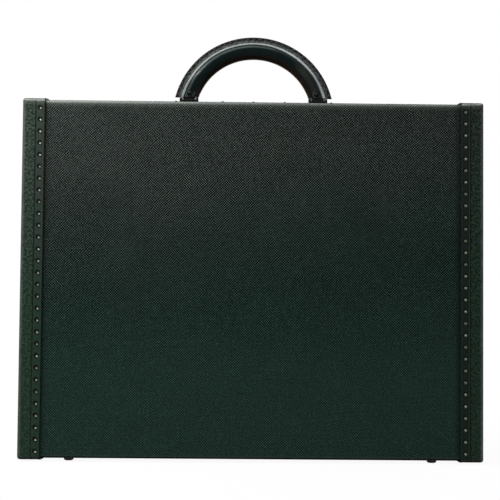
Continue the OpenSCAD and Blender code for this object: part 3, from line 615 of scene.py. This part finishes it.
WELT_THREAD = thread("welt_thread", (0.001, 0.001, 0.001), (0.006, 0.007, 0.007))
POCKET_THREAD = thread("pocket_thread", (0.02, 0.03, 0.025), (0.06, 0.08, 0.07))


def dress_cad_nodes():
    for part in frame["record"]["subparts"]:
        node = frame["nodes"][part["node"]]
        node.data.materials.clear()
        node.data.materials.append(MATERIALS[part["material_slot"]])


def add_object(name, mesh, material, body):
    piece = bpy.data.objects.new(name, mesh)
    bpy.context.scene.collection.objects.link(piece)
    mesh.materials.clear()
    mesh.materials.append(material)
    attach(piece, body)
    return piece


def mesh_from(name, points, faces, smooth=True):
    mesh = bpy.data.meshes.new(name)
    mesh.from_pydata([tuple(p) for p in points], [], faces)
    mesh.validate()
    mesh.update()
    if smooth:
        mesh.polygons.foreach_set("use_smooth", [True] * len(mesh.polygons))
    return mesh


def loft_faces(rings, sides, closed=True):
    """Quads from ring to ring of points, and a cap on each end where the rings are closed."""
    faces = []
    for ring in range(1, rings):
        for k in range(sides if closed else sides - 1):
            a = (ring - 1) * sides + k
            b = (ring - 1) * sides + (k + 1) % sides
            faces.append((a, b, b + sides, a + sides))
    if closed:
        faces.append(tuple(reversed(range(sides))))
        faces.append(tuple(range((rings - 1) * sides, rings * sides)))
    return faces


def joined(parts):
    """Points and faces of several parts, as one mesh's."""
    points, faces = [], []
    for part_points, part_faces in parts:
        faces += [tuple(i + len(points) for i in face) for face in part_faces]
        points += part_points
    return points, faces


def softened(node, body, slot, width):
    """A copy of a CAD node's mesh whose sharp edges are rounded, in place of the node."""
    work = bmesh.new()
    work.from_mesh(frame["nodes"][node].data)
    bmesh.ops.remove_doubles(work, verts=work.verts, dist=0.002 * MM)
    bmesh.ops.dissolve_limit(work, angle_limit=math.radians(1), verts=work.verts, edges=work.edges)
    sharp = [e for e in work.edges if len(e.link_faces) == 2 and e.calc_face_angle(0) > SHARP_ANGLE]
    bmesh.ops.bevel(work, geom=sharp, offset=width, offset_type="OFFSET", segments=BEVEL_SEGMENTS,
                    profile=0.5, affect="EDGES", clamp_overlap=True)
    mesh = bpy.data.meshes.new("soft_" + node)
    work.to_mesh(mesh)
    work.free()
    mesh.polygons.foreach_set("use_smooth", [True] * len(mesh.polygons))
    mesh.set_sharp_from_angle(angle=SHARP_ANGLE)
    piece = add_object("soft_" + node, mesh, MATERIALS[slot], body)
    even = piece.modifiers.new("flat_faces_stay_flat", "WEIGHTED_NORMAL")
    even.weight = 100
    even.keep_sharp = True
    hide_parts(node)


def build_soft_edges():
    for shell, body in (("base", "root"), ("lid", "lid")):
        softened(shell + "_cover", body, "cover_leather", 0.35 * MM)
        for side in ("left", "right"):
            softened(f"{shell}_{side}_trim", body, "trim_leather", 0.45 * MM)
    softened("handle_patch", "root", "cover_leather", 0.45 * MM)
    softened("lid_lip", "lid", "lip", 0.3 * MM)
    softened("lid_pocket", "lid", "pocket_leather", 0.35 * MM)
    for side in ("left", "right"):
        softened(side + "_handle_mount", "root", "dark_brass", 0.25 * MM)
        softened(side + "_lock_plate", "root", "brass", 0.2 * MM)
        softened(side + "_hasp_mount", "lid", "brass", 0.15 * MM)
        softened(side + "_hasp", side + "_hasp", "brass", 0.15 * MM)
        softened(side + "_slide", side + "_slide", "brass", 0.12 * MM)


def smooth_step(t):
    t = min(max(t, 0.0), 1.0)
    return t * t * (3 - 2 * t)


def grip_half_width(height):
    """Half the roll's thickness at a height above its cut ends."""
    swell = smooth_step((height - PINCH_FLAT * 0.55) / PINCH_RISE)
    return PINCH_HALF + (GRIP_HALF - PINCH_HALF) * swell


def roll_side(half):
    """One side of the roll's outline, from the inside of the arch to where the bead begins."""
    squareness = 2 + 2.2 * (1 - (half - PINCH_HALF) / (GRIP_HALF - PINCH_HALF))
    steps = 20
    side = []
    for i in range(steps + 1):
        a = math.pi * (1 - i / steps * 0.78)
        c, s = math.cos(a), math.sin(a)
        out = GRIP_HALF * math.copysign(abs(c) ** (2 / squareness), c)
        side.append((out, half * abs(s) ** (2 / squareness)))
    side[0] = (side[0][0], 0.0)
    return side


# Bead of leather at the fin's root: shares of its height and of its reach beyond the fin
BEAD = [(0.15, 0.97), (0.35, 0.95), (0.52, 0.86), (0.68, 0.70), (0.84, 0.48), (0.95, 0.27), (1.0, 0.1)]


def grip_section(height, along):
    """Outline of the roll with its fin: (outward, across) points from inside to the fin and back."""
    side = roll_side(grip_half_width(height))
    fin = WELT_HALF - 0.1 * MM
    start_out, start_across = side[-1]
    bead_out = GRIP_HALF + 0.4 * MM - start_out
    side += [(start_out + bead_out * f, fin + (start_across - fin) * reach) for f, reach in BEAD]
    pucker = 0.22 * MM * (0.5 + 0.5 * math.cos(2 * math.pi * along / STITCH_PITCH))
    side += [(GRIP_HALF + 0.7 * MM, fin), (STITCH_OUT - 1.1 * MM, fin - pucker * 0.4),
             (STITCH_OUT, fin - pucker), (STITCH_OUT + 1.0 * MM, fin - pucker * 0.4),
             (WELT_TOP - 0.5 * MM, fin - 0.15 * MM), (WELT_TOP - 0.15 * MM, fin - 0.45 * MM),
             (WELT_TOP, fin - 1.0 * MM)]
    return side + [(WELT_TOP, 0.0)] + [(out, -across) for out, across in reversed(side[1:])]


def cut_angle(radius):
    """Angle above the level of the arch's centre at which the leather is cut, at a radius."""
    return math.asin((LEATHER_END_Z - ARCH_Z) / radius)


def arch_point(out, across, t):
    """A point of the handle: t runs from the left cut end to the right one, both cut level."""
    radius = CORE_R + out
    start = cut_angle(radius)
    a = math.pi - start - (math.pi - 2 * start) * t
    return Vector((radius * math.cos(a), HANDLE_Y + across, ARCH_Z + radius * math.sin(a)))


def wrinkled_point(out, across, t):
    """A point of the roll's leather, with its wrinkles and the creases of its pinched ends."""
    p = arch_point(out, across, t)
    if abs(across) > 1e-6:
        on_roll = 1 - smooth_step((out - GRIP_HALF) / (1 * MM))
        near_end = 1 - smooth_step((p.z - LEATHER_END_Z) / (30 * MM))
        wrinkle = noise.noise(Vector((p.x, p.y * 0.6, p.z)) * 90) * 0.22 * MM
        crease = noise.noise(Vector((p.x * 160, p.y * 120, p.z * 60))) * 0.25 * MM * near_end
        p.y += math.copysign(1, across) * (wrinkle + crease) * on_roll
    return p


def build_grip():
    """Leather roll and fin in one skin, with its rings closer together near both cut ends."""
    steps, crowding = 180, 0.06
    length = math.pi * (CORE_R + GRIP_HALF) * 0.82
    points = []
    for i in range(steps + 1):
        t = i / steps
        t -= crowding * math.sin(2 * math.pi * t) / (2 * math.pi)
        height = arch_point(0, 0, t).z - LEATHER_END_Z
        section = grip_section(height, t * length)
        points += [wrinkled_point(out, across, t) for out, across in section]
    mesh = mesh_from("grip_leather", points, loft_faces(steps + 1, len(section)))
    mesh.set_sharp_from_angle(angle=math.radians(50))
    piece = add_object("grip_leather", mesh, MATERIALS["handle_leather"], "handle")
    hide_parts("handle_grip", "handle_welt")


def tube(path, radius, sides=8):
    """Points and faces of a round bar with domed ends along a path."""
    dome = radius * 0.6
    stations = [path[0] - (path[1] - path[0]).normalized() * dome]
    stations += path + [path[-1] + (path[-1] - path[-2]).normalized() * dome]
    last = len(stations) - 1
    points = []
    for i, p in enumerate(stations):
        forward = (stations[min(i + 1, last)] - stations[max(i - 1, 0)]).normalized()
        reference = Vector((0, 0, 1)) if abs(forward.z) < 0.9 else Vector((1, 0, 0))
        side = forward.cross(reference).normalized()
        up = side.cross(forward)
        r = radius * (0.35 if i in (0, last) else 1)
        for k in range(sides):
            a = 2 * math.pi * k / sides
            points.append(p + side * r * math.cos(a) + up * r * math.sin(a))
    return points, loft_faces(len(stations), sides)


def build_welt_stitches():
    """Saddle stitches along both sides of the fin."""
    radius = CORE_R + STITCH_OUT
    count = int(radius * (math.pi - 2 * cut_angle(radius)) / STITCH_PITCH)
    stitches = []
    for i in range(count):
        for side in (-1, 1):
            across = side * (WELT_HALF - 0.25 * MM)
            lift = 0.12 * MM * side
            path = [arch_point(STITCH_OUT, across + up, (i + 0.5 + along) / count)
                    for along, up in ((-0.24, 0.0), (0.0, lift), (0.24, 0.0))]
            stitches.append(tube(path, THREAD_R))
    mesh = mesh_from("welt_stitches", *joined(stitches))
    add_object("welt_stitches", mesh, WELT_THREAD, "handle")


# Section of the fin's edge: millimetres out from its top, and shares of its half width
WELT_EDGE = [(-0.9, 1.0), (-0.35, 0.98), (-0.1, 0.7), (0.05, 0.0),
             (-0.1, -0.7), (-0.35, -0.98), (-0.9, -1.0)]


def build_welt_edge():
    """Burnished black edge along the fin's outside."""
    steps, end_margin = 120, 0.001
    half = WELT_HALF - 0.02 * MM
    points = []
    for i in range(steps + 1):
        t = end_margin + (1 - 2 * end_margin) * i / steps
        points += [arch_point(WELT_TOP + out * MM, across * half, t) for out, across in WELT_EDGE]
    mesh = mesh_from("welt_edge", points, loft_faces(steps + 1, len(WELT_EDGE), closed=False))
    piece = add_object("welt_edge", mesh, EDGE_DYE, "handle")
    shell = piece.modifiers.new("thickness", "SOLIDIFY")
    shell.thickness = 0.3 * MM
    shell.offset = -1


def rivet_rim(side_x, side_y, around=32, ring=8):
    """Points and faces of a flattened ring round one rivet."""
    points, faces = [], []
    for i in range(around):
        a = 2 * math.pi * i / around
        for k in range(ring):
            b = 2 * math.pi * k / ring
            r = 3.3 * MM + 0.55 * MM * math.cos(b)
            x = side_x * RIVET_X * MM + r * math.cos(a)
            y = HANDLE_Y + side_y * (PINCH_HALF + 0.1 * MM) + 0.4 * MM * math.sin(b)
            points.append(Vector((x, y, RIVET_Z * MM + r * math.sin(a))))
            j, m = (i + 1) % around, (k + 1) % ring
            faces.append((i * ring + k, i * ring + m, j * ring + m, j * ring + k))
    return points, faces


def build_rivet_rims():
    """Raised rim of pressed leather round each rivet."""
    rims = [rivet_rim(side_x, side_y) for side_x in (-1, 1) for side_y in (-1, 1)]
    mesh = mesh_from("rivet_rims", *joined(rims))
    add_object("rivet_rims", mesh, MATERIALS["handle_leather"], "handle")


def build_pocket_stitches():
    """Running stitches that hold the pocket to the lid's lining on three sides."""
    low, high = (Vector(v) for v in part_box("lid_pocket"))
    y = high.y - POCKET_STITCH_DEPTH
    left, right, bottom = low.x + POCKET_INSET, high.x - POCKET_INSET, low.z + POCKET_INSET
    end_low, end_high = low.z + POCKET_STITCH_END, high.z - POCKET_STITCH_END
    end_left, end_right = low.x + POCKET_STITCH_END, high.x - POCKET_STITCH_END
    runs = [(Vector((left, y, end_high)), Vector((left, y, end_low))),
            (Vector((end_left, y, bottom)), Vector((end_right, y, bottom))),
            (Vector((right, y, end_low)), Vector((right, y, end_high)))]
    stitches = []
    for start, end in runs:
        count = round((end - start).length / POCKET_PITCH)
        for i in range(count):
            path = [start.lerp(end, (i + along) / count) for along in (0.2, 0.5, 0.8)]
            path[1].y -= 0.12 * MM
            stitches.append(tube(path, POCKET_THREAD_R, 6))
    mesh = mesh_from("pocket_stitches", *joined(stitches))
    add_object("pocket_stitches", mesh, POCKET_THREAD, "lid")


def build_camera():
    forward = Vector((math.sin(CAMERA_YAW) * math.cos(CAMERA_PITCH),
                      math.cos(CAMERA_YAW) * math.cos(CAMERA_PITCH), math.sin(CAMERA_PITCH)))
    level = forward.cross(Vector((0, 0, 1))).normalized()
    above = level.cross(forward)
    right = level * math.cos(CAMERA_ROLL) + above * math.sin(CAMERA_ROLL)
    up = above * math.cos(CAMERA_ROLL) - level * math.sin(CAMERA_ROLL)
    data = bpy.data.cameras.new("photo_camera")
    data.sensor_width = SENSOR
    data.lens = SENSOR * FOCAL_PIXELS / PHOTO_PIXELS
    camera = bpy.data.objects.new("photo_camera", data)
    bpy.context.scene.collection.objects.link(camera)
    turn = Matrix((right, up, -forward)).transposed().to_4x4()
    camera.matrix_world = Matrix.Translation(CAMERA_AT) @ turn
    bpy.context.scene.camera = camera


def add_light(name, at, target, size, power):
    data = bpy.data.lights.new(name, "AREA")
    data.shape = "RECTANGLE"
    data.size, data.size_y = size
    data.energy = power
    light = bpy.data.objects.new(name, data)
    bpy.context.scene.collection.objects.link(light)
    light.location = at
    light.visible_camera = False
    light.rotation_mode = "QUATERNION"
    light.rotation_quaternion = (Vector(target) - Vector(at)).to_track_quat("-Z", "Y")


def build_lights():
    add_light("key", (-0.42, -0.28, 0.70), (-0.10, -0.04, 0.30), (0.24, 0.14), 5.2)
    add_light("overhead", (-0.05, -0.45, 1.45), (0, -0.05, 0.3), (0.8, 0.2), 4.5)
    add_light("behind", (0.9, 2.1, 1.1), (0, 0, 0.2), (1.4, 1.0), 40)


def seen_directly(tree):
    """1 for rays that show the background: from the camera, in a gloss or through glass."""
    path = tree.nodes.new("ShaderNodeLightPath")
    total = path.outputs["Is Camera Ray"]
    for name in ("Is Glossy Ray", "Is Transmission Ray"):
        node = tree.nodes.new("ShaderNodeMath")
        node.operation = "MAXIMUM"
        tree.links.new(total, node.inputs[0])
        tree.links.new(path.outputs[name], node.inputs[1])
        total = node.outputs[0]
    return total


def build_world():
    """White where it is seen, and a dim even light on the object."""
    world = bpy.data.worlds.new("studio")
    bpy.context.scene.world = world
    world.use_nodes = True
    tree = world.node_tree
    background = tree.nodes["Background"]
    background.inputs["Color"].default_value = (1, 1, 1, 1)
    strength = tree.nodes.new("ShaderNodeMapRange")
    strength.inputs["To Min"].default_value = AMBIENT
    strength.inputs["To Max"].default_value = 1.0
    tree.links.new(seen_directly(tree), strength.inputs["Value"])
    tree.links.new(strength.outputs[0], background.inputs["Strength"])


def floor_material():
    """Pale surface that shows as white to the camera, a little less so near the case."""
    material = bpy.data.materials.new("pale_floor")
    material.use_nodes = True
    tree = material.node_tree
    tree.nodes.remove(tree.nodes["Principled BSDF"])
    diffuse = tree.nodes.new("ShaderNodeBsdfDiffuse")
    diffuse.inputs["Color"].default_value = FLOOR_COLOR
    glow = tree.nodes.new("ShaderNodeEmission")
    mix = tree.nodes.new("ShaderNodeMixShader")
    coordinates = tree.nodes.new("ShaderNodeTexCoord")
    distance = tree.nodes.new("ShaderNodeVectorMath")
    distance.operation = "LENGTH"
    fade = tree.nodes.new("ShaderNodeMapRange")
    for key, value in (("From Min", 0.25), ("From Max", 0.75), ("To Min", 0.94), ("To Max", 1.0)):
        fade.inputs[key].default_value = value
    share = tree.nodes.new("ShaderNodeMath")
    share.operation = "MULTIPLY"
    tree.links.new(coordinates.outputs["Object"], distance.inputs[0])
    tree.links.new(distance.outputs["Value"], fade.inputs["Value"])
    tree.links.new(seen_directly(tree), share.inputs[0])
    tree.links.new(fade.outputs[0], share.inputs[1])
    tree.links.new(share.outputs[0], mix.inputs[0])
    tree.links.new(diffuse.outputs[0], mix.inputs[1])
    tree.links.new(glow.outputs[0], mix.inputs[2])
    tree.links.new(mix.outputs[0], tree.nodes["Material Output"].inputs["Surface"])
    return material


def build_floor():
    """White floor that takes the case's shadow near it and melts into the background further off."""
    corners = [(x * FLOOR_REACH, y * FLOOR_REACH, 0) for x, y in ((-1, -1), (1, -1), (1, 1), (-1, 1))]
    mesh = mesh_from("floor", corners, [(0, 1, 2, 3)], smooth=False)
    mesh.materials.append(floor_material())
    floor = bpy.data.objects.new("floor", mesh)
    bpy.context.scene.collection.objects.link(floor)


bpy.context.scene.view_settings.view_transform = "Standard"
build_camera()
build_floor()
build_world()
build_lights()
dress_cad_nodes()
build_soft_edges()
build_grip()
build_welt_edge()
build_welt_stitches()
build_rivet_rims()
build_pocket_stitches()
